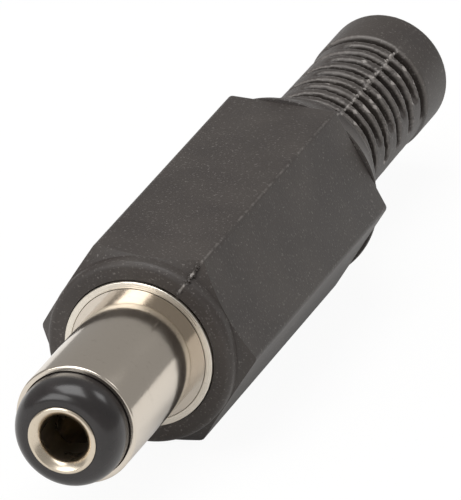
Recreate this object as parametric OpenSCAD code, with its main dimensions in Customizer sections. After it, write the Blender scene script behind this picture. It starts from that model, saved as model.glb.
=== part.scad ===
// Coaxial DC power plug with a screw-on hexagonal cover and a slotted strain relief.
// The plug lies on one flat of its hexagon. Its axis runs along Y, mating end towards -Y.

/* [Mating end] */
// Outside diameter of the barrel
barrel_d = 5.5; // [5.4:0.05:5.6]
// Wall of the barrel
barrel_wall = 0.25; // [0.2:0.05:0.3]
// Length from the tip to the face of the ferrule
shaft_len = 9.1; // [8.8:0.1:9.6]
// How far the insulated nose stands out of the barrel
nose_len = 1.7; // [1.5:0.05:1.9]
// Outside diameter of the centre contact's mouth
contact_d = 3.1; // [3:0.05:3.2]
// Wall of the centre contact
contact_wall = 0.4; // [0.3:0.05:0.4]
// Bore of the centre contact
socket_d = 2.1; // [2:0.05:2.2]
// Usable depth of the centre contact
socket_depth = 8.5; // [7.5:0.1:9]
// Width of the slits that make the centre contact springy
slit_w = 0.3; // [0.2:0.05:0.35]

/* [Ferrule] */
// Diameter of the ferrule flange
flange_d = 6.85; // [6.7:0.05:7]
// Thickness of the ferrule flange
flange_t = 1.2; // [1:0.1:1.4]
// How far the ferrule face stands out of the cover
ferrule_proud = 0.15; // [0.05:0.05:0.25]
// Outside diameter of the ferrule thread
thread_d = 6.5; // [6.45:0.05:6.6]
// Length of the threaded part of the ferrule
thread_len = 5.5; // [5:0.1:6]
// Wall of the ferrule around its parts
ferrule_wall = 0.27; // [0.23:0.02:0.27]
// Width of the ferrule's ring around the foot of the barrel
face_land = 0.33; // [0.25:0.02:0.35]
// Depth to which the foot of the barrel is set into the ferrule
foot_t = 0.9; // [0.7:0.1:1.1]

/* [Cover] */
// Width across the flats of the hexagon
hex_af = 8.65; // [8.65:0.05:9]
// Length of the hexagon
hex_len = 16.7; // [16.2:0.1:17.2]
// Diameter of the round collar in front of the hexagon
collar_d = 8.6; // [8.4:0.05:8.6]
// Length of the round collar in front of the hexagon
collar_len = 1.25; // [1.1:0.05:1.4]
// Radius on the front rim of the collar
collar_round = 0.3; // [0.2:0.05:0.4]
// Length of the chamfer that blends the hexagon into the collar
front_chamfer_len = 0.55; // [0.4:0.05:0.7]
// Length of the chamfer on the rear corners of the hexagon
rear_chamfer_len = 0.25; // [0.15:0.05:0.5]
// Length of the tapered shoulder behind the hexagon
shoulder_len = 2.9; // [2.7:0.1:3.1]
// Length of the straight part of the shoulder
shoulder_cone_len = 2; // [1.8:0.1:2.2]
// Diameter at the small end of the shoulder's straight part
shoulder_end_d = 7.2; // [7:0.1:7.4]
// Diameter of the shoulder where it meets the hexagon
shoulder_d = 8.95; // [8.8:0.05:9]
// Diameter inside the cover behind the ferrule
cavity_d = 6.2; // [6.1:0.05:6.25]
// Distance that the cavity stops short of the back of the hexagon
cavity_stop = 1.2; // [0.8:0.1:1.5]

/* [Strain relief] */
// Diameter of the strain relief at its root
relief_root_d = 5.74; // [5.6:0.02:5.8]
// Diameter of the strain relief at its thin end
relief_neck_d = 5.6; // [5.5:0.02:5.7]
// Diameter of the smooth end collar
end_collar_d = 5.8; // [5.7:0.05:5.9]
// Length of the smooth end collar
end_collar_len = 2.8; // [2.6:0.1:3]
// Radius on the end of the strain relief
end_round = 0.15; // [0.1:0.05:0.4]
// Bore for the cable
cable_d = 4; // [3.8:0.05:4.2]
// Length of plain wall in front of the first slot
first_land = 0.22; // [0.2:0.02:0.4]
// Number of slots along each side
slot_count = 10; // [8:2:10]
// Distance from one slot to the next
slot_pitch = 0.82; // [0.8:0.01:0.83]
// Width of each slot
slot_w = 0.5; // [0.4:0.02:0.54]
// Half width of the material left between the deep slots
deep_web = 0.85; // [0.7:0.05:1]
// Half width of the material left between the shallow slots
shallow_web = 1.8; // [1.7:0.05:1.85]

/* [Tags] */
// Thickness of the tag sheet
tag_t = 0.4; // [0.3:0.05:0.45]
// Thickness of the insulating washer behind the barrel
washer_t = 1; // [0.8:0.1:1.2]
// Length of the centre solder tag behind the washer
centre_tag_len = 4.6; // [4:0.1:5]
// Width of the centre solder tag
centre_tag_w = 1.8; // [1.6:0.05:1.9]
// Length of the sleeve solder tag up to its clamp wings
sleeve_arm_len = 6; // [5.6:0.1:6.4]
// Width of the sleeve solder tag
sleeve_arm_w = 2; // [1.8:0.05:2.2]
// Length of the cable clamp wings
clamp_len = 2.6; // [2.2:0.1:3]
// Diameter of the solder holes
solder_hole_d = 0.9; // [0.8:0.05:1]

/* [Hidden] */
$fn = 96;

// Gap around pieces that are pressed or stacked together
seat_gap = 0.02;
// Gap between the cover and the ferrule that it screws onto
screw_gap = 0.04;
// Length by which cutters pass through a face
over = 1;

// Stations along the axis, measured back from the tip
tip_recess = 0.1;
foot_back = shaft_len + foot_t;
spigot_len = 0.5;
barrel_back = foot_back + spigot_len;
flange_back = shaft_len + flange_t;
thread_back = flange_back + thread_len;
rim_t = 0.3;
ring_back = thread_back - rim_t;
ring_front = ring_back - tag_t;
washer_back = ring_back + washer_t;
eye_back = washer_back + tag_t;
rivet_t = 0.3;
rivet_back = eye_back + rivet_t;
arm_back = ring_back + sleeve_arm_len;
clamp_back = arm_back + clamp_len;

cover_front = shaft_len + ferrule_proud;
hex_front = cover_front + collar_len;
hex_back = hex_front + hex_len;
shoulder_back = hex_back + shoulder_len;
slots_front = shoulder_back + first_land;
slots_back = slots_front + (slot_count - 1) * slot_pitch + slot_w;
plug_len = slots_back + end_collar_len;
thread_bore_back = thread_back + rim_t;
throat_front = hex_back - cavity_stop;
throat_len = 1.5;

// Radii
corner_r = hex_af / 2 / cos(30);
barrel_bore_r = barrel_d / 2 - barrel_wall;
core_r = thread_d / 2 - ferrule_wall;
fill_r = core_r - seat_gap;
shank_r = 0.8;
shank_hole_r = shank_r + seat_gap;
rivet_lip = 0.45;
rivet_r = shank_r + rivet_lip;
eye_rim = 0.25;
eye_r = rivet_r + eye_rim;
tube_r = socket_d / 2 + contact_wall;
mouth_r = contact_d / 2;
nose_land = 0.15;
nose_flat_r = mouth_r + nose_land;
ring_hole_r = cable_d / 2 - tag_t / 2;
rim_lip = 0.43;
rim_r = core_r - rim_lip;
foot_r = flange_d / 2 - face_land;
// Angle of the edge on which the two halves of the mould meet
mould_split = -60;

// Sizes of small features
lead_in = 0.08;
funnel_len = 0.25;
funnel_edge = 0.13;
funnel_land = 0.07;
throat_step = 0.35;
mouth_len = 0.5;
nose_curve_len = 1.1;
end_step = 0.12;
slit_start = 1.5;
slit_stop = 1;
socket_floor = 1;
wing_height = 1.5;
hole_inset = 1.1;
tab_inset = eye_r - tag_t / 2;

// Points of an elliptical arc about [cr, cz], from angle a0 to a1
function arc(cr, cz, rr, rz, a0, a1, n = 12) =
    [for (i = [0:n]) let (a = a0 + (a1 - a0) * i / n) [cr + rr * cos(a), cz + rz * sin(a)]];

// Puts a piece that is drawn along Z on the axis of the plug, with its tip at the front
module on_axis() {
    translate([0, -plug_len / 2, hex_af / 2]) rotate([-90, 0, 0]) children();
}

module turned(profile) {
    rotate_extrude() polygon(profile);
}

// Outside of the collar, with its rounded front rim
module collar() {
    r = collar_d / 2;
    turned(concat(
        [[0, cover_front]],
        arc(r - collar_round, cover_front + collar_round, collar_round, collar_round, -90, 0),
        [[r, hex_front], [0, hex_front]]));
}

// Hexagonal bar, turned down to the collar in front and chamfered behind
module grip() {
    front = hex_front - front_chamfer_len;
    intersection() {
        translate([0, 0, front]) cylinder(r = corner_r, h = hex_back - front, $fn = 6);
        turned([
            [0, front], [collar_d / 2 - seat_gap, front], [corner_r + seat_gap, hex_front],
            [corner_r + seat_gap, hex_back - rear_chamfer_len], [shoulder_d / 2, hex_back],
            [0, hex_back]]);
    }
}

// Tapered shoulder behind the hexagon, a little prouder than the flats
module shoulder() {
    turned(concat(
        [[0, hex_back - over], [hex_af / 2 - seat_gap, hex_back - over],
         [hex_af / 2 - seat_gap, hex_back], [shoulder_d / 2, hex_back]],
        shoulder_curve(),
        [[0, shoulder_back]]));
}

// The rounded end of the shoulder, down to the root of the strain relief
function shoulder_curve() =
    let (cone_back = hex_back + shoulder_cone_len,
         cone_r = shoulder_end_d / 2,
         root_r = relief_root_d / 2)
    arc(root_r, cone_back, cone_r - root_r, shoulder_len - shoulder_cone_len, 0, 90, 8);

// Strain relief before it is slotted, with its smooth end collar
module relief() {
    end_r = end_collar_d / 2;
    turned(concat(
        [[0, hex_back], [relief_root_d / 2, hex_back], [relief_root_d / 2, shoulder_back],
         [relief_neck_d / 2, slots_back - end_step], [end_r, slots_back + end_step]],
        arc(end_r - end_round, plug_len - end_round, end_round, end_round, 0, 90),
        [[0, plug_len]]));
}

// Bore of the cover: mouth for the flange, thread, cavity for the tags and cable hole
module cover_bore() {
    flange_r = flange_d / 2 + screw_gap;
    thread_r = thread_d / 2 + screw_gap;
    turned([
        [0, cover_front - over], [flange_r, cover_front - over], [flange_r, flange_back],
        [thread_r, flange_back], [thread_r, thread_bore_back],
        [cavity_d / 2, thread_bore_back], [cavity_d / 2, throat_front],
        [cable_d / 2, throat_front + throat_len], [cable_d / 2, plug_len + over],
        [0, plug_len + over]]);
}

// One slot on both sides of the strain relief, leaving a web of the given half width
module slot_pair(station, web) {
    reach = relief_root_d / 2 + over;
    for (side = [0, 180])
        rotate([0, 0, mould_split + side])
            translate([web, -reach, station]) cube([reach - web, 2 * reach, slot_w]);
}

// Shallow and deep slots in turn, all open to the cable hole
module slots() {
    for (i = [0:slot_count - 1])
        slot_pair(slots_front + i * slot_pitch, i % 2 == 0 ? shallow_web : deep_web);
}

module cover() {
    color([0.16, 0.16, 0.16]) on_axis() difference() {
        union() {
            collar();
            grip();
            shoulder();
            relief();
        }
        cover_bore();
        slots();
    }
}

// The threaded ring that holds the barrel, the insulator and the ring of the sleeve tag
module ferrule() {
    seat_r = foot_r + seat_gap;
    flange_r = flange_d / 2;
    thread_r = thread_d / 2;
    color([0.85, 0.84, 0.8]) on_axis() turned([
        [seat_r, shaft_len], [flange_r - lead_in, shaft_len],
        [flange_r, shaft_len + lead_in], [flange_r, flange_back],
        [thread_r, flange_back], [thread_r, thread_back - lead_in],
        [thread_r - lead_in, thread_back], [rim_r, thread_back], [rim_r, ring_back],
        [core_r, ring_back], [core_r, foot_back], [seat_r, foot_back]]);
}

// The sleeve contact: a tube with a stepped foot that is pressed into the ferrule
module barrel() {
    r = barrel_d / 2;
    color([0.8, 0.79, 0.76]) on_axis() turned([
        [barrel_bore_r, nose_len], [r - lead_in, nose_len], [r, nose_len + lead_in],
        [r, shaft_len], [foot_r, shaft_len], [foot_r, foot_back - seat_gap],
        [fill_r, foot_back - seat_gap], [fill_r, barrel_back],
        [barrel_bore_r, barrel_back]]);
}

module insulator() {
    body_r = barrel_bore_r - seat_gap;
    head_r = mouth_r + seat_gap;
    bore_r = tube_r + seat_gap;
    bore_back = socket_depth + socket_floor + seat_gap;
    color([0.1, 0.1, 0.11]) on_axis() turned(concat(
        [[head_r, tip_recess]],
        arc(nose_flat_r, tip_recess + nose_curve_len, body_r - nose_flat_r, nose_curve_len, -90, 0),
        [[body_r, barrel_back], [fill_r, barrel_back], [fill_r, ring_front],
         [shank_hole_r, ring_front], [shank_hole_r, bore_back], [bore_r, bore_back],
         [bore_r, mouth_len], [head_r, mouth_len]]));
}

module contact() {
    socket_r = socket_d / 2;
    tube_back = socket_depth + socket_floor;
    slit_len = socket_depth - slit_start - slit_stop;
    color([0.83, 0.8, 0.72]) on_axis() difference() {
        turned([
            [0, socket_depth], [socket_r, socket_depth], [socket_r, funnel_len + throat_step],
            [socket_r + funnel_land, funnel_len], [mouth_r - funnel_edge, 0],
            [mouth_r - lead_in, 0], [mouth_r, lead_in], [mouth_r, mouth_len],
            [tube_r, mouth_len], [tube_r, tube_back], [shank_r, tube_back],
            [shank_r, eye_back], [rivet_r, eye_back], [rivet_r - lead_in, rivet_back],
            [0, rivet_back]]);
        translate([-slit_w / 2, -contact_d, slit_start]) cube([slit_w, 2 * contact_d, slit_len]);
    }
}

// Insulating washer with a flat where the sleeve tag passes, and a spigot in the tag's ring
module rear_insulator() {
    washer_r = rim_r - 2 * seat_gap;
    flat = ring_hole_r - 2 * seat_gap;
    color([0.82, 0.78, 0.68]) on_axis() difference() {
        union() {
            translate([0, 0, ring_front]) cylinder(r = flat, h = tag_t);
            translate([0, 0, ring_back]) cylinder(r = washer_r, h = washer_t);
        }
        translate([0, 0, ring_front - over])
            cylinder(r = shank_hole_r, h = tag_t + washer_t + 2 * over);
        translate([-washer_r - over, flat, ring_front - over])
            cube([2 * (washer_r + over), washer_r, tag_t + washer_t + 2 * over]);
    }
}

// Solder tag on the centre contact: an eye under the rivet and a tab bent back from it
module centre_tag() {
    tab_y = -tab_inset - tag_t;
    tab_back = washer_back + centre_tag_len;
    color([0.84, 0.82, 0.76]) on_axis() difference() {
        union() {
            translate([0, 0, washer_back]) cylinder(r = eye_r, h = tag_t);
            translate([-centre_tag_w / 2, tab_y, washer_back])
                cube([centre_tag_w, -tab_y, tag_t]);
            translate([-centre_tag_w / 2, tab_y, washer_back])
                cube([centre_tag_w, tag_t, centre_tag_len]);
        }
        translate([0, 0, washer_back - over]) cylinder(r = shank_hole_r, h = tag_t + 2 * over);
        translate([0, over, tab_back - hole_inset]) rotate([90, 0, 0])
            cylinder(d = solder_hole_d, h = 2 * over + tab_inset + tag_t);
    }
}

// Section of the cable clamp, open at the top
module clamp_section() {
    outer_r = ring_hole_r + tag_t;
    difference() {
        union() {
            circle(r = outer_r);
            translate([-outer_r, -wing_height]) square([2 * outer_r, wing_height]);
        }
        circle(r = ring_hole_r);
        translate([-ring_hole_r, -2 * outer_r]) square([2 * ring_hole_r, 2 * outer_r]);
    }
}

// Solder tag on the sleeve: a ring held in the ferrule, an arm and a cable clamp
module sleeve_tag() {
    color([0.84, 0.82, 0.76]) on_axis() difference() {
        union() {
            translate([0, 0, ring_front]) cylinder(r = fill_r, h = tag_t);
            translate([-sleeve_arm_w / 2, ring_hole_r, ring_front])
                cube([sleeve_arm_w, tag_t, clamp_back - ring_front]);
            translate([0, 0, arm_back]) linear_extrude(clamp_len) clamp_section();
        }
        translate([0, 0, ring_front - over]) cylinder(r = ring_hole_r, h = tag_t + over);
        translate([0, ring_hole_r + tag_t + over, arm_back - hole_inset]) rotate([90, 0, 0])
            cylinder(d = solder_hole_d, h = tag_t + 2 * over);
    }
}

cover();
ferrule();
barrel();
insulator();
contact();
rear_insulator();
centre_tag();
sleeve_tag();
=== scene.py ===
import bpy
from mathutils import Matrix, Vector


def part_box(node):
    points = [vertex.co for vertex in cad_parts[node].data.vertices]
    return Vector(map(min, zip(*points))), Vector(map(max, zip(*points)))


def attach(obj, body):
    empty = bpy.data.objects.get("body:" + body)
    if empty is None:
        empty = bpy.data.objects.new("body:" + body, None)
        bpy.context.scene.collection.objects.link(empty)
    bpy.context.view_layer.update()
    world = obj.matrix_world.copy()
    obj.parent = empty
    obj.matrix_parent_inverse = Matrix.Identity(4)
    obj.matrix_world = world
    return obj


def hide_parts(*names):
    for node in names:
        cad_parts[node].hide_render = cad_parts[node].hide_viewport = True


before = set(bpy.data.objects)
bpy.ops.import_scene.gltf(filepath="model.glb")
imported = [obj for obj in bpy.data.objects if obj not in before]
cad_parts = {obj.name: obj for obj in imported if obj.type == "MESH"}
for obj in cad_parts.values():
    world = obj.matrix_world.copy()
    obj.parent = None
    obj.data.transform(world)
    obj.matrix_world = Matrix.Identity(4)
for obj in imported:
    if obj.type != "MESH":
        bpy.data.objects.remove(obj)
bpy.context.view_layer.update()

import math

import bpy
from mathutils import Vector, noise

# Everything is modelled on a bench in millimetres: the plug's axis runs along Y from the
# tip at y = 0, and Z is up. Finished pieces are then put where the CAD has them.
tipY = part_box("contact")[0][1]
axisHeight = (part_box("barrel")[0][2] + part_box("barrel")[1][2]) / 2
millimetre = 0.001


def station(y):  # distance from the tip along the axis, in mm
    return (y - tipY) / millimetre


def frontOf(node):
    return station(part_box(node)[0][1])


def backOf(node):
    return station(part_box(node)[1][1])


def radiusOf(node):
    return (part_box(node)[1][0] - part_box(node)[0][0]) / 2 / millimetre


def deselectAll():
    if bpy.context.object and bpy.context.object.mode != "OBJECT":
        bpy.ops.object.mode_set(mode="OBJECT")
    bpy.ops.object.select_all(action="DESELECT")


def pickUp(piece):
    deselectAll()
    piece.select_set(True)
    bpy.context.view_layer.objects.active = piece


def finishWith(piece, kind, **settings):  # adds a modifier and applies it
    pickUp(piece)
    modifier = piece.modifiers.new(kind.title(), kind)
    for setting, value in settings.items():
        setattr(modifier, setting, value)
    bpy.ops.object.modifier_apply(modifier=modifier.name)


def newPiece(name, points, edges):  # a wire to spin or screw
    mesh = bpy.data.meshes.new(name)
    mesh.from_pydata(points, edges, [])
    piece = bpy.data.objects.new(name, mesh)
    bpy.context.scene.collection.objects.link(piece)
    return piece


def tidyMesh(piece, gap=0.0005):
    pickUp(piece)
    bpy.ops.object.mode_set(mode="EDIT")
    bpy.ops.mesh.select_all(action="SELECT")
    bpy.ops.mesh.remove_doubles(threshold=gap)
    bpy.ops.mesh.normals_make_consistent(inside=False)
    bpy.ops.object.mode_set(mode="OBJECT")


def turn(name, profile, steps=128):  # a closed profile of (radius, station), spun about the axis
    points = [(0, y, r) for r, y in profile]
    edges = [(i, (i + 1) % len(points)) for i in range(len(points))]
    edges = [(i, j) for i, j in edges if points[i][2] + points[j][2] > 0]  # none along the axis
    piece = newPiece(name, points, edges)
    pickUp(piece)
    bpy.ops.object.mode_set(mode="EDIT")
    bpy.ops.mesh.select_all(action="SELECT")
    bpy.ops.mesh.spin(steps=steps, angle=2 * math.pi, center=(0, 0, 0), axis=(0, 1, 0))
    tidyMesh(piece)
    return piece


def arc(centreR, centreY, sizeR, sizeY, start, stop, count=8):  # points of an elliptical arc
    angles = [math.radians(start + (stop - start) * i / count) for i in range(count + 1)]
    return [(centreR + sizeR * math.cos(a), centreY + sizeY * math.sin(a)) for a in angles]


def block(name, low, high):  # a box between two corners, to cut with
    deselectAll()
    centre = [(a + b) / 2 for a, b in zip(low, high)]
    bpy.ops.mesh.primitive_cube_add(size=1, location=centre)
    piece = bpy.context.object
    piece.name = name
    piece.scale = [b - a for a, b in zip(low, high)]
    bpy.ops.object.transform_apply(location=True, rotation=True, scale=True)
    return piece


def joinAll(pieces):
    deselectAll()
    for piece in pieces:
        piece.select_set(True)
    bpy.context.view_layer.objects.active = pieces[0]
    if len(pieces) > 1:
        bpy.ops.object.join()
    return pieces[0]


def cutWith(piece, cutter, operation="DIFFERENCE"):
    finishWith(piece, "BOOLEAN", object=cutter, operation=operation, solver="EXACT")
    bpy.data.objects.remove(cutter, do_unlink=True)


def smooth(piece, angle=30):
    pickUp(piece)
    bpy.ops.object.shade_smooth_by_angle(angle=math.radians(angle))


def dress(piece, body, slot, material, *nodes):
    piece.data.materials.clear()
    piece.data.materials.append(material)
    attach(piece, body)
    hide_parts(*nodes)
    print("fitted", piece.name, "with", len(piece.data.polygons), "faces")


def fit(piece, *wear):  # from the bench to its place on the plug
    piece.location = (0, tipY, axisHeight)
    piece.scale = (millimetre,) * 3
    pickUp(piece)
    bpy.ops.object.transform_apply(location=True, rotation=True, scale=True)
    dress(piece, *wear)


def colour(code):  # sRGB hex to linear
    parts = [int(code[i:i + 2], 16) / 255 for i in (1, 3, 5)]
    return tuple(p / 12.92 if p <= 0.04045 else ((p + 0.055) / 1.055) ** 2.4 for p in parts) + (1,)


def addNode(tree, kind, links=None, stops=(), **settings):
    node = tree.nodes.new("ShaderNode" + kind)
    for i, (position, code) in enumerate(stops):  # of a colour ramp
        if i >= 2:
            node.color_ramp.elements.new(position)
        node.color_ramp.elements[i].position = position
        node.color_ramp.elements[i].color = colour(code)
    for setting, value in settings.items():
        setattr(node, setting, value)
    for socket, value in (links or {}).items():
        if isinstance(value, bpy.types.NodeSocket):
            tree.links.new(value, node.inputs[socket])
        else:
            node.inputs[socket].default_value = value
    return node


def newMaterial(name):
    material = bpy.data.materials.new(name)
    material.use_nodes = True
    tree = material.node_tree
    return material, tree, tree.nodes["Principled BSDF"]


coverSizes = {
    # radii, and stations from the tip, in mm
    "front": frontOf("cover"), "back": backOf("cover"),
    "hexCorner": radiusOf("cover"), "hexFlat": radiusOf("cover") * math.cos(math.pi / 6),
    "collarR": 4.3, "collarRound": 0.3, "mouthR": 3.465, "mouthDepth": 10.3,
    "hexFront": 10.5, "chamferStart": 9.95, "hexBack": 27.2,
    "hexEdge": 0.15, "hexEdgeSteps": 4,
    # hidden foot of the shoulder: radii from the flats, stations from the back of the hexagon
    "shoulderFoot": [(-0.15, -0.4), (-0.1, -0.05)], "shoulderFootWall": 0.7,
    # rim of the shoulder: radii from shoulderR, stations from the back of the hexagon
    "shoulderRim": [(-0.04, 0), (0, 0.08)],
    "shoulderR": 4.475, "coneEnd": 29.2, "coneEndR": 3.6, "rootY": 30.1, "rootR": 2.87,
    "neckR": 2.8, "slotsEnd": 38.2, "endR": 2.9, "endStep": 0.12, "endRound": 0.15,
    "cableR": 2.0, "throatBack": 27.5, "throatFront": 26.0, "cavityR": 3.1,
    "threadEnd": 16.1, "threadR": 3.29,
    "slotFront": 30.32, "slotPitch": 0.82, "slotWidth": 0.5, "slotCount": 10,
    "slotReach": 4,
    "shallowWeb": 1.8, "deepWeb": 0.85, "splitAngle": 30,
    # the far half of the mould stands a little further back, and its slots closed up more
    "farShift": 0.24, "farSlotWidth": 0.34,
    "reliefLap": 0.25, "reliefGrid": 0.086, "reliefSmoothing": 3,
    "ribWander": 0.05, "ripple": 0.4, "swell": 0.004, "ribsFade": 0.5,
    "ribsPaleFrom": 30.2, "ribsPaleTo": 30.5,
    "overrun": 0.5, "play": 0.03, "sharp": 28,
}


plasticLook = {
    "body": "#302a27", "worn": "#3b3531", "dust": "#8c8783", "flash": "#b3ada8",
    "roughness": 0.5, "grainMm": 0.1, "grainDepth": 0.02,
    "patchScale": 350, "mottleScale": 9000,  # repeats a metre: patches of 3 mm, mottle of 0.1 mm
    "mottleShare": 0.4, "dustShare": 0.32,
    "speckMm": 0.6, "speckSize": 0.022,  # spacing and radius of the dust
    "seamMm": 0.07, "seamCoreMm": 0.02, "breakScale": 2200,  # the seam breaks up every 0.5 mm
    "edgeFrom": 0.515, "edgeTo": 0.59, "edgeShare": 0.62,  # how sharp an edge is rubbed pale
    # how much of the seam shows along the cover: ragged in front, faint along the flats,
    # clear on the ribs and faint again on the end collar
    "seamShow": [(0.03, "#e0e0e0"), (0.05, "#707070"), (0.6, "#707070"),
                 (0.66, "#c0c0c0"), (0.9, "#c0c0c0"), (0.93, "#404040")],
}


def makeCoverPlastic(look=plasticLook, c=coverSizes):
    # Black ABS, injection moulded in a spark-eroded tool: an even, fine matt grain with dust in it,
    # a pale line where the halves of the mould met, and edges rubbed pale along the slots
    material, tree, shader = newMaterial("mouldedBlackAbs")
    place = addNode(tree, "TexCoord").outputs["Object"]
    patches = addNode(tree, "TexNoise", {"Vector": place, "Scale": look["patchScale"],
                                         "Detail": 4}).outputs["Fac"]
    grain = addNode(tree, "TexNoise", {"Vector": place, "Scale": 1000 / look["grainMm"],
                                       "Detail": 3, "Roughness": 0.6}).outputs["Fac"]
    mottle = addNode(tree, "TexNoise", {"Vector": place, "Scale": look["mottleScale"],
                                        "Detail": 2}).outputs["Fac"]
    base = addNode(tree, "ValToRGB", {"Fac": patches},
                   stops=[(0.35, look["body"]), (0.7, look["worn"])]).outputs["Color"]
    salt = addNode(tree, "MapRange", {"Value": mottle, "From Min": 0.6, "From Max": 0.75,
                                      "To Min": 0.0, "To Max": look["mottleShare"]})
    base = addNode(tree, "Mix", {"Factor": salt.outputs["Result"], "A": base,
                                 "B": colour(look["dust"])}, data_type="RGBA").outputs["Result"]
    specks = addNode(tree, "TexVoronoi", {"Vector": place, "Scale": 1000 / look["speckMm"]})
    size = look["speckSize"] / look["speckMm"]
    dust = addNode(tree, "MapRange", {"Value": specks.outputs["Distance"], "From Min": size * 1.6,
                                      "From Max": size * 0.6, "To Min": 0.0,
                                      "To Max": look["dustShare"]})
    base = addNode(tree, "Mix", {"Factor": dust.outputs["Result"], "A": base,
                                 "B": colour(look["dust"])}, data_type="RGBA").outputs["Result"]

    # distances in mm from the axis, turned so that the mould parts where across is 0
    turned = addNode(tree, "Mapping", {"Vector": place, "Location": (0, 0, -axisHeight)})
    turned = addNode(tree, "Mapping", {"Vector": turned.outputs["Vector"],
                                       "Rotation": (0, math.radians(-c["splitAngle"]), 0),
                                       "Scale": (1000, 1000, 1000)}).outputs["Vector"]
    parts = addNode(tree, "SeparateXYZ", {"Vector": turned}).outputs
    across = addNode(tree, "Math", {0: parts["X"]}, operation="ABSOLUTE").outputs[0]
    seam = addNode(tree, "MapRange", {"Value": across, "From Min": look["seamMm"],
                                      "From Max": look["seamCoreMm"],
                                      "To Min": 0.0, "To Max": 1.0}).outputs["Result"]
    broken = addNode(tree, "TexNoise", {"Vector": place, "Scale": look["breakScale"], "Detail": 2})
    broken = addNode(tree, "MapRange", {"Value": broken.outputs["Fac"], "From Min": 0.4,
                                        "From Max": 0.65}).outputs["Result"]
    seam = addNode(tree, "Math", {0: seam, 1: broken}, operation="MULTIPLY").outputs[0]
    tip = tipY / millimetre
    along = addNode(tree, "MapRange", {"Value": parts["Y"], "From Min": tip + c["front"],
                                       "From Max": tip + c["back"]}).outputs["Result"]
    along = addNode(tree, "ValToRGB", {"Fac": along}, stops=look["seamShow"]).outputs["Color"]
    seam = addNode(tree, "Math", {0: seam, 1: along}, operation="MULTIPLY").outputs[0]
    behind = addNode(tree, "MapRange", {"Value": parts["Y"], "From Min": tip + c["ribsPaleFrom"],
                                        "From Max": tip + c["ribsPaleTo"]}).outputs["Result"]
    edges = addNode(tree, "MapRange", {"Value": addNode(tree, "NewGeometry").outputs["Pointiness"],
                                       "From Min": look["edgeFrom"], "From Max": look["edgeTo"],
                                       "To Min": 0.0, "To Max": look["edgeShare"]})
    edges = edges.outputs["Result"]
    edges = addNode(tree, "Math", {0: edges, 1: behind}, operation="MULTIPLY").outputs[0]
    pale = addNode(tree, "Math", {0: seam, 1: edges}, operation="MAXIMUM").outputs[0]
    base = addNode(tree, "Mix", {"Factor": pale, "A": base, "B": colour(look["flash"])},
                   data_type="RGBA").outputs["Result"]
    tree.links.new(base, shader.inputs["Base Color"])
    shader.inputs["Roughness"].default_value = look["roughness"]
    bump = addNode(tree, "Bump", {"Height": grain, "Strength": 0.5,
                                  "Distance": look["grainDepth"] * millimetre})
    tree.links.new(bump.outputs["Normal"], shader.inputs["Normal"])
    return material


platings = {  # colour, roughness, and the depth of the lathe's lines in mm
    "brightNickelPlate": ("#cfc6ba", 0.12, 0.0),
    "turnedNickelPlate": ("#ded7cb", 0.3, 0.004),
    "warmNickelPlate": ("#cfc3b1", 0.24, 0.0),
    "tinnedBrassSheet": ("#cfc9be", 0.3, 0.0),
}
platingWear = {
    "latheLineMm": 0.09, "hazeScale": 500, "wearScale": 4000,  # haze of 2 mm, specks of 0.25 mm
    "stain": "#8a8175", "stainShare": 0.3, "wearStrength": 0.35, "wearMm": 0.006,
}


def makePlating(name, w=platingWear):
    # Nickel or tin on turned brass: it mirrors the room with a warm tinge, and is specked and
    # lightly scratched, which a patchy roughness and a fine bump show
    plate, roughness, lines = platings[name]
    material, tree, shader = newMaterial(name)
    place = addNode(tree, "TexCoord").outputs["Object"]
    haze = addNode(tree, "TexNoise", {"Vector": place, "Scale": w["hazeScale"],
                                      "Detail": 5}).outputs["Fac"]
    wear = addNode(tree, "TexNoise", {"Vector": place, "Scale": w["wearScale"], "Detail": 3,
                                      "Roughness": 0.7}).outputs["Fac"]
    shader.inputs["Metallic"].default_value = 1
    stained = addNode(tree, "MapRange", {"Value": wear, "From Min": 0.6, "From Max": 0.8,
                                         "To Min": 0.0, "To Max": w["stainShare"]})
    base = addNode(tree, "Mix", {"Factor": stained.outputs["Result"], "A": colour(plate),
                                 "B": colour(w["stain"])}, data_type="RGBA").outputs["Result"]
    tree.links.new(base, shader.inputs["Base Color"])
    rough = addNode(tree, "MapRange", {"Value": haze, "From Min": 0.3, "From Max": 0.7,
                                       "To Min": roughness * 0.8,
                                       "To Max": roughness * 1.4}).outputs["Result"]
    tree.links.new(rough, shader.inputs["Roughness"])
    bump = addNode(tree, "Bump", {"Height": wear, "Strength": w["wearStrength"],
                                  "Distance": w["wearMm"] * millimetre})
    if lines:
        centred = addNode(tree, "Mapping", {"Vector": place, "Location": (0, 0, -axisHeight)})
        # rings of the Wave texture repeat every 0.314 / scale metres
        rings = addNode(tree, "TexWave", {"Vector": centred.outputs["Vector"],
                                          "Scale": 314 / w["latheLineMm"], "Distortion": 1.5},
                        wave_type="RINGS", rings_direction="Y").outputs["Fac"]
        bump = addNode(tree, "Bump", {"Height": rings, "Normal": bump.outputs["Normal"],
                                      "Distance": lines * millimetre})
    tree.links.new(bump.outputs["Normal"], shader.inputs["Normal"])
    return material


noseLook = {"body": "#221f1f", "hazy": "#2b2727", "roughness": 0.23, "hazeScale": 900}


def makeNosePlastic(look=noseLook):
    # Black nylon, moulded and polished smooth by use: dark, with clear soft highlights and a haze
    # that changes every millimetre or so
    material, tree, shader = newMaterial("polishedBlackNylon")
    place = addNode(tree, "TexCoord").outputs["Object"]
    haze = addNode(tree, "TexNoise", {"Vector": place, "Scale": look["hazeScale"],
                                      "Detail": 4}).outputs["Fac"]
    base = addNode(tree, "ValToRGB", {"Fac": haze},
                   stops=[(0.4, look["body"]), (0.7, look["hazy"])])
    tree.links.new(base.outputs["Color"], shader.inputs["Base Color"])
    shader.inputs["Roughness"].default_value = look["roughness"]
    return material


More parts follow.
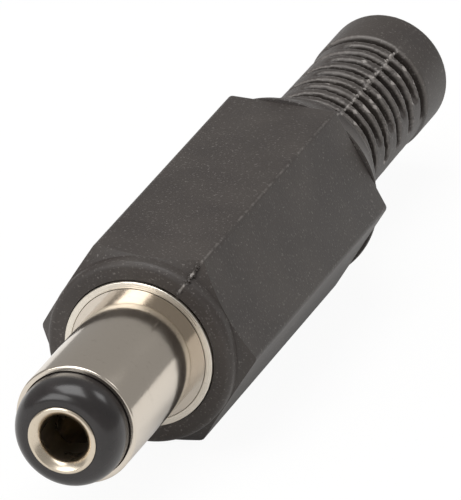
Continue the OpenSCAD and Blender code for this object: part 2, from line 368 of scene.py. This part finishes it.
laminateLook = {"resin": "#a8875c", "fibre": "#c3a578", "roughness": 0.7, "fibreScale": 2500}


def makeLaminate(look=laminateLook):
    # Punched paper laminate of the washer behind the ferrule: pale brown, matt, with fibres
    # about 0.4 mm apart
    material, tree, shader = newMaterial("paperLaminate")
    place = addNode(tree, "TexCoord").outputs["Object"]
    fibres = addNode(tree, "TexNoise", {"Vector": place, "Scale": look["fibreScale"],
                                        "Detail": 6}).outputs["Fac"]
    base = addNode(tree, "ValToRGB", {"Fac": fibres},
                   stops=[(0.35, look["resin"]), (0.7, look["fibre"])])
    tree.links.new(base.outputs["Color"], shader.inputs["Base Color"])
    shader.inputs["Roughness"].default_value = look["roughness"]
    return material


def makeGrip(c):  # collar and hexagon: a turned body cut down to six flats by a softened prism
    corner = c["hexCorner"] + c["play"]
    behind = c["hexBack"] + c["overrun"]
    profile = arc(c["collarR"] - c["collarRound"], c["front"] + c["collarRound"],
                  c["collarRound"], c["collarRound"], -90, 0)
    profile += [(c["collarR"], c["chamferStart"]), (corner, c["hexFront"]),
                (corner, behind), (c["cableR"], behind),
                (c["cableR"], c["throatBack"]), (c["cavityR"], c["throatFront"]),
                (c["cavityR"], c["threadEnd"]), (c["threadR"], c["threadEnd"]),
                (c["threadR"], c["mouthDepth"]), (c["mouthR"], c["mouthDepth"]),
                (c["mouthR"], c["front"])]
    grip = turn("cover_shell", profile)
    front = c["front"] - 2 * c["overrun"]
    deselectAll()
    bpy.ops.mesh.primitive_cylinder_add(
        vertices=6, radius=c["hexCorner"], depth=c["hexBack"] - front,
        location=(0, (c["hexBack"] + front) / 2, 0), rotation=(math.pi / 2, math.pi / 6, 0))
    prism = bpy.context.object
    bpy.ops.object.transform_apply(location=True, rotation=True, scale=True)
    rear = c["hexBack"] - c["play"]
    bevelEdges(prism, lambda a, b: max(a.y, b.y) > rear, c["hexEdge"], c["hexEdgeSteps"])
    cutWith(grip, prism, "INTERSECT")
    return grip


def makeShoulder(c):  # the cone behind the flats, a little prouder than they are
    profile = [(c["hexFlat"] + r, c["hexBack"] + y) for r, y in c["shoulderFoot"]]
    profile += [(c["shoulderR"] + r, c["hexBack"] + y) for r, y in c["shoulderRim"]]
    profile += arc(c["rootR"], c["coneEnd"], c["coneEndR"] - c["rootR"],
                   c["rootY"] - c["coneEnd"], 0, 90)
    profile += [(c["cableR"], c["rootY"]), (c["cableR"], c["throatBack"]),
                (c["cableR"] + c["shoulderFootWall"], c["hexBack"] + c["shoulderFoot"][0][1])]
    return turn("shoulder", profile)


def bevelEdges(piece, chosen, width, segments):  # chosen says yes or no to an edge's two ends
    pickUp(piece)
    bpy.ops.object.mode_set(mode="EDIT")
    bpy.ops.mesh.select_mode(type="EDGE")
    bpy.ops.mesh.select_all(action="DESELECT")
    bpy.ops.object.mode_set(mode="OBJECT")
    points = piece.data.vertices
    for edge in piece.data.edges:
        a, b = (points[i].co for i in edge.vertices)
        edge.select = chosen(a, b)
    bpy.ops.object.mode_set(mode="EDIT")
    bpy.ops.mesh.bevel(offset=width, segments=segments, affect="EDGES", clamp_overlap=True)
    bpy.ops.object.mode_set(mode="OBJECT")


def slotCutters(c, half):  # one box for each slot in that half of the mould, on both sides
    reach = c["slotReach"]
    cutters = []
    shift, width = (0, c["slotWidth"]) if half > 0 else (c["farShift"], c["farSlotWidth"])
    for i in range(c["slotCount"]):
        web = c["shallowWeb"] if i % 2 == 0 else c["deepWeb"]
        front = c["slotFront"] + i * c["slotPitch"] + shift
        for side in (0, 180):
            low = (min(0, half * reach), front, web)
            high = (max(0, half * reach), front + width, reach)
            cutter = block("cutter", low, high)
            cutter.rotation_euler = (0, math.radians(c["splitAngle"] + side), 0)
            bpy.ops.object.transform_apply(location=True, rotation=True, scale=True)
            cutters.append(cutter)
    return joinAll(cutters)


def makeRelief(c):  # the slotted strain relief, remeshed so that its ribs are round and uneven
    step = c["endStep"]
    start = c["rootY"] - c["reliefLap"]
    profile = [(c["rootR"], start), (c["neckR"], c["slotsEnd"] - step),
               (c["endR"], c["slotsEnd"] + step)]
    profile += arc(c["endR"] - c["endRound"], c["back"] - c["endRound"],
                   c["endRound"], c["endRound"], 0, 90)
    profile += [(c["cableR"], c["back"]), (c["cableR"], start)]
    relief = turn("strain_relief", profile)
    cutWith(relief, slotCutters(c, 1))
    cutWith(relief, slotCutters(c, -1))
    finishWith(relief, "REMESH", mode="VOXEL", voxel_size=c["reliefGrid"], adaptivity=0.0)
    finishWith(relief, "SMOOTH", factor=0.5, iterations=c["reliefSmoothing"])
    for point in relief.data.vertices:  # the ribs wander a little, as flexible ones do
        spot = point.co
        inSlots = min(1, max(0, (c["slotsEnd"] - spot.y) / c["ribsFade"]),
                      max(0, spot.y - c["rootY"]))
        wander = noise.noise(Vector((spot.x * 0.8, spot.y * 1.3, spot.z * 0.8)))
        ripple = noise.noise(Vector((spot.x * 3, spot.y * 5, spot.z * 3 + 9)))
        spot.y += c["ribWander"] * inSlots * (wander + c["ripple"] * ripple)
        lift = 1 + c["swell"] * inSlots * noise.noise(spot * 2.2)
        spot.x *= lift
        spot.z *= lift
    return relief


crumbSizes = {
    "count": 30, "small": 0.09, "spread": 0.2, "flattened": (1, 0.45, 0.7),
    "aside": 0.12, "along": 0.06, "turned": 6, "ragged": 0.03, "raggedness": 14,
    "perRib": 2, "ribStart": 0.8, "ribSink": 0.04, "ribShare": 0.7,
    # (radius, station) along the front, up the collar and over the chamfer
    "path": [(3.5, 9.3), (4.0, 9.32), (4.25, 9.45), (4.3, 9.9), (4.55, 10.1), (4.8, 10.3)],
}


def makeCrumbs(c, f=crumbSizes):  # ragged flash where the halves of the mould met
    places = []
    for i in range(f["count"]):
        along = i / f["count"] * (len(f["path"]) - 1)
        (r, y), (nextR, nextY) = f["path"][int(along)], f["path"][int(along) + 1]
        share = along - int(along)
        places.append((r + (nextR - r) * share, y + (nextY - y) * share, 1))
    for i in range(c["slotCount"] * f["perRib"]):
        ribY = c["slotFront"] + (i / f["perRib"] + f["ribStart"]) * c["slotPitch"]
        places.append((c["neckR"] - f["ribSink"], ribY, f["ribShare"]))
    split = math.radians(c["splitAngle"])
    crumbs = []
    for i, (r, y, scale) in enumerate(places):
        wobble = noise.noise_vector(Vector((i * 1.7, 3.1, 0.4)))
        deselectAll()
        bpy.ops.mesh.primitive_ico_sphere_add(
            subdivisions=2, radius=scale * (f["small"] + f["spread"] * abs(wobble.x)),
            location=(r * math.sin(split) + f["aside"] * wobble.y, y + f["along"] * wobble.z,
                      r * math.cos(split)), rotation=tuple(wobble * f["turned"]))
        crumb = bpy.context.object
        crumb.scale = f["flattened"]
        bpy.ops.object.transform_apply(location=True, rotation=True, scale=True)
        for point in crumb.data.vertices:
            point.co += f["ragged"] * noise.noise_vector(point.co * f["raggedness"])
        crumbs.append(crumb)
    return joinAll(crumbs)


def makeCover(c=coverSizes):
    shell = makeGrip(c)
    cutWith(shell, makeShoulder(c), "UNION")
    print("grip and shoulder:", len(shell.data.polygons), "faces")
    tidyMesh(shell)
    smooth(shell, c["sharp"])
    relief = makeRelief(c)
    pickUp(relief)
    bpy.ops.object.shade_smooth()
    return joinAll([shell, relief, makeCrumbs(c)])


coverPlastic = makeCoverPlastic()
plating = {name: makePlating(name) for name in platings}
nosePlastic = makeNosePlastic()
laminate = makeLaminate()
print("materials ready")

fit(makeCover(), "cover", "cover_plastic", coverPlastic, "cover")

coreSizes = {
    "face": frontOf("ferrule"), "flangeR": radiusOf("ferrule"), "flangeBack": 10.3,
    "footR": 3.095, "seatR": 3.115, "footBack": 10.0, "coreR": 2.98, "fillR": 2.96,
    "threadR": 3.25, "threadRoot": 3.1, "threadPitch": 0.5, "threadBack": 15.8,
    "rimFront": 15.5, "rimR": 2.55,
    "barrelR": 2.75, "barrelBore": 2.5, "noseEnd": 1.7, "barrelBack": 10.5,
    "bodyR": 2.48, "headR": 1.57, "tubeHole": 1.47, "shankHole": 0.82, "ringFront": 15.1,
    "contactR": 1.55, "tubeR": 1.45, "socketR": 1.05, "socketEnd": 8.5, "tubeBack": 9.5,
    "shankR": 0.8, "eyeBack": 16.9, "rivetR": 1.25, "rivetBack": 17.2,
    "flangeEdge": 0.06, "rimEdge": 0.09, "noseCurve": 1.1, "noseLand": 0.15, "headBack": 0.5,
    "threadLead": 0.15, "threadRunout": 0.1, "threadShare": 0.42,
    "threadCrest": 0.04, "threadSteps": 64, "play": 0.02,
    # the contact's flared mouth: how far outside the socket, and the station
    "flare": [(0, 0.6), (0.03, 0.35), (0.08, 0.22)],
    # and its rolled lip: how far inside the outer radius, and the station
    "lip": [(0.16, 0.02), (0.1, 0), (0.05, 0.01), (0, 0.06)],
    "rivetEdge": 0.1, "sharp": 35, "steps": 160, "contactSteps": 128,
}


def makeFerrule(c=coreSizes):
    edge, play = c["flangeEdge"], c["play"]
    body = turn("ferrule_ring", [(c["seatR"], c["face"] + play), (c["seatR"] + play, c["face"])]
                + arc(c["flangeR"] - edge, c["face"] + edge, edge, edge, -90, 0, 5)
                + [(c["flangeR"], c["flangeBack"]), (c["threadRoot"], c["flangeBack"]),
                   (c["threadRoot"], c["threadBack"]), (c["rimR"], c["threadBack"]),
                   (c["rimR"], c["rimFront"]), (c["coreR"], c["rimFront"]),
                   (c["coreR"], c["footBack"]), (c["seatR"], c["footBack"])], c["steps"])
    half = c["threadPitch"] * c["threadShare"]
    start = c["flangeBack"] + half + c["threadLead"]
    turns = int((c["threadBack"] - half - c["threadRunout"] - start) / c["threadPitch"])
    crest = c["threadCrest"]
    root = c["threadRoot"] - play
    ridge = newPiece("thread", [(0, start - half, root), (0, start - crest, c["threadR"]),
                                (0, start + crest, c["threadR"]), (0, start + half, root)],
                     [(0, 1), (1, 2), (2, 3), (3, 0)])
    steps = c["threadSteps"] * turns
    finishWith(ridge, "SCREW", axis="Y", screw_offset=c["threadPitch"] * turns,
               angle=2 * math.pi * turns, steps=steps, render_steps=steps,
               iterations=1, use_merge_vertices=False)
    pickUp(ridge)
    bpy.ops.object.mode_set(mode="EDIT")
    bpy.ops.mesh.select_all(action="DESELECT")
    bpy.ops.mesh.select_non_manifold()
    bpy.ops.mesh.edge_face_add()  # closes the thread's two ends
    bpy.ops.object.mode_set(mode="OBJECT")
    tidyMesh(ridge)
    body = joinAll([body, ridge])
    smooth(body, c["sharp"])
    return body


def makeBarrel(c=coreSizes):
    rim, play = c["rimEdge"], c["play"]
    tube = turn("barrel_tube", [(c["barrelBore"], c["noseEnd"] + rim / 3),
                                (c["barrelBore"] + rim / 3, c["noseEnd"])]
                + arc(c["barrelR"] - rim, c["noseEnd"] + rim, rim, rim, -90, 0, 6)
                + [(c["barrelR"], c["face"]), (c["footR"], c["face"]),
                   (c["footR"], c["footBack"] - play), (c["fillR"], c["footBack"] - play),
                   (c["fillR"], c["barrelBack"]), (c["barrelBore"], c["barrelBack"])], c["steps"])
    smooth(tube, c["sharp"])
    return tube


def makeInsulator(c=coreSizes):
    recess = frontOf("insulator")
    land = c["contactR"] + c["noseLand"]
    shelf = c["tubeBack"] + c["play"]
    body = turn("insulator_nose", [(c["headR"], recess)]
                + arc(land, recess + c["noseCurve"], c["bodyR"] - land, c["noseCurve"], -90, 0, 20)
                + [(c["bodyR"], c["barrelBack"]), (c["fillR"], c["barrelBack"]),
                   (c["fillR"], c["ringFront"]), (c["shankHole"], c["ringFront"]),
                   (c["shankHole"], shelf), (c["tubeHole"], shelf),
                   (c["tubeHole"], c["headBack"]), (c["headR"], c["headBack"])], c["steps"])
    smooth(body, c["sharp"])
    return body


def makeContact(c=coreSizes):
    mouth = [(c["socketR"] + wider, y) for wider, y in c["flare"]]
    mouth += [(c["contactR"] - inner, y) for inner, y in c["lip"]]
    edge = c["rivetEdge"]
    tube = turn("centre_contact", [(0, c["socketEnd"]), (c["socketR"], c["socketEnd"])] + mouth
                + [(c["contactR"], c["headBack"]), (c["tubeR"], c["headBack"]),
                   (c["tubeR"], c["tubeBack"]), (c["shankR"], c["tubeBack"]),
                   (c["shankR"], c["eyeBack"]), (c["rivetR"], c["eyeBack"]),
                   (c["rivetR"], c["rivetBack"] - edge),
                   (c["rivetR"] - 1.5 * edge, c["rivetBack"]), (0, c["rivetBack"])],
                c["contactSteps"])
    smooth(tube, c["sharp"])
    return tube


fit(makeFerrule(), "plug_core", "nickel_plate", plating["turnedNickelPlate"], "ferrule")
fit(makeBarrel(), "plug_core", "nickel_plate", plating["brightNickelPlate"], "barrel")
fit(makeInsulator(), "plug_core", "insulator_plastic", nosePlastic, "insulator")
fit(makeContact(), "plug_core", "contact_plate", plating["warmNickelPlate"], "contact")


tagSizes = {"edge": 0.05, "edgeSteps": 2, "sharp": 35, "flat": 2}  # mm, and angles in degrees


# The stamped pieces at the back are their CAD solids with softened edges
def softCopy(name, node, c=tagSizes):
    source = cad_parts[node]
    piece = bpy.data.objects.new(name, source.data.copy())
    bpy.context.scene.collection.objects.link(piece)
    pickUp(piece)
    bpy.ops.object.mode_set(mode="EDIT")
    bpy.ops.mesh.select_all(action="SELECT")
    bpy.ops.mesh.remove_doubles(threshold=1e-6)
    bpy.ops.mesh.dissolve_limited(angle_limit=math.radians(c["flat"]))
    bpy.ops.object.mode_set(mode="OBJECT")
    finishWith(piece, "BEVEL", width=c["edge"] * millimetre, segments=c["edgeSteps"],
               limit_method="ANGLE", angle_limit=math.radians(c["sharp"]),
               offset_type="OFFSET", use_clamp_overlap=True)
    smooth(piece, c["sharp"])
    return piece


for name, node, slot, material in (
        ("laminate_washer", "rear_insulator", "washer_plastic", laminate),
        ("centre_solder_tag", "centre_tag", "tag_plate", plating["tinnedBrassSheet"]),
        ("sleeve_solder_tag", "sleeve_tag", "tag_plate", plating["tinnedBrassSheet"])):
    dress(softCopy(name, node), "plug_core", slot, material, node)
print("core ready")

studio = {
    "floorSize": 4.0, "floor": "#f3f2f0", "floorRoughness": 0.9,
    "floorShow": 0.94, "floorMirrored": 0.36,  # how white the camera and mirrors see the floor
    "sky": 0.4,
    "cameraAt": (0.148714, -0.396253, 0.202597), "lens": 762, "sensor": 36, "near": 0.01, "far": 20,
    "lamps": [
        # name, place, size, power
        ("topBox", (-0.1, -0.05, 0.65), 0.5, 3.1),
        ("frontBox", (-0.38, -0.62, 0.4), 0.5, 2.7),
        ("sideBox", (0.36, 0.38, 0.5), 0.22, 0.5),
    ],
}


def makeFloor():
    deselectAll()
    bpy.ops.mesh.primitive_plane_add(size=studio["floorSize"], location=(0, 0, 0))
    floor = bpy.context.object
    floor.name = "studio_floor"
    # Pale matt card, which the camera and mirrors see almost white and which keeps the shadow
    material, tree, shader = newMaterial("paleCard")
    shader.inputs["Base Color"].default_value = colour(studio["floor"])
    shader.inputs["Roughness"].default_value = studio["floorRoughness"]
    paths = addNode(tree, "LightPath").outputs
    mirrored = addNode(tree, "Math", {0: paths["Is Glossy Ray"], 1: paths["Is Transmission Ray"]},
                       operation="MAXIMUM").outputs[0]
    mirrored = addNode(tree, "Math", {0: mirrored, 1: studio["floorMirrored"]},
                       operation="MULTIPLY").outputs[0]
    share = addNode(tree, "Math", {0: paths["Is Camera Ray"], 1: studio["floorShow"],
                                   2: mirrored}, operation="MULTIPLY_ADD").outputs[0]
    white = addNode(tree, "Emission", {"Color": (1, 1, 1, 1), "Strength": 1.0})
    mix = addNode(tree, "MixShader", {0: share, 1: shader.outputs["BSDF"],
                                      2: white.outputs["Emission"]})
    tree.links.new(mix.outputs["Shader"], tree.nodes["Material Output"].inputs["Surface"])
    floor.data.materials.append(material)


def makeWorld():
    world = bpy.data.worlds.new("studio")
    bpy.context.scene.world = world
    world.use_nodes = True
    tree = world.node_tree
    tree.nodes.clear()
    white = addNode(tree, "Background", {"Color": (1, 1, 1, 1), "Strength": 1.0})
    walls = addNode(tree, "Background", {"Color": (1, 0.985, 0.965, 1), "Strength": studio["sky"]})
    cameraRay = addNode(tree, "LightPath").outputs["Is Camera Ray"]
    mix = addNode(tree, "MixShader", {0: cameraRay, 1: walls.outputs[0], 2: white.outputs[0]})
    addNode(tree, "OutputWorld", {"Surface": mix.outputs["Shader"]})


def aimAtPlug(thing, place):
    bpy.context.scene.collection.objects.link(thing)
    thing.location = place
    aim = Vector((0, 0, axisHeight)) - Vector(place)
    thing.rotation_euler = aim.to_track_quat("-Z", "Y").to_euler()


def makeLamps():
    for name, place, size, power in studio["lamps"]:
        data = bpy.data.lights.new(name, "AREA")
        data.shape = "SQUARE"
        data.size = size
        data.energy = power
        aimAtPlug(bpy.data.objects.new(name, data), place)


def makeCamera():
    data = bpy.data.cameras.new("camera")
    data.lens = studio["lens"]
    data.sensor_width = studio["sensor"]
    data.clip_start = studio["near"]
    data.clip_end = studio["far"]
    camera = bpy.data.objects.new("camera", data)
    aimAtPlug(camera, studio["cameraAt"])
    bpy.context.scene.camera = camera


makeFloor()
makeWorld()
makeLamps()
makeCamera()
bpy.context.scene.view_settings.view_transform = "Standard"
print("studio ready")
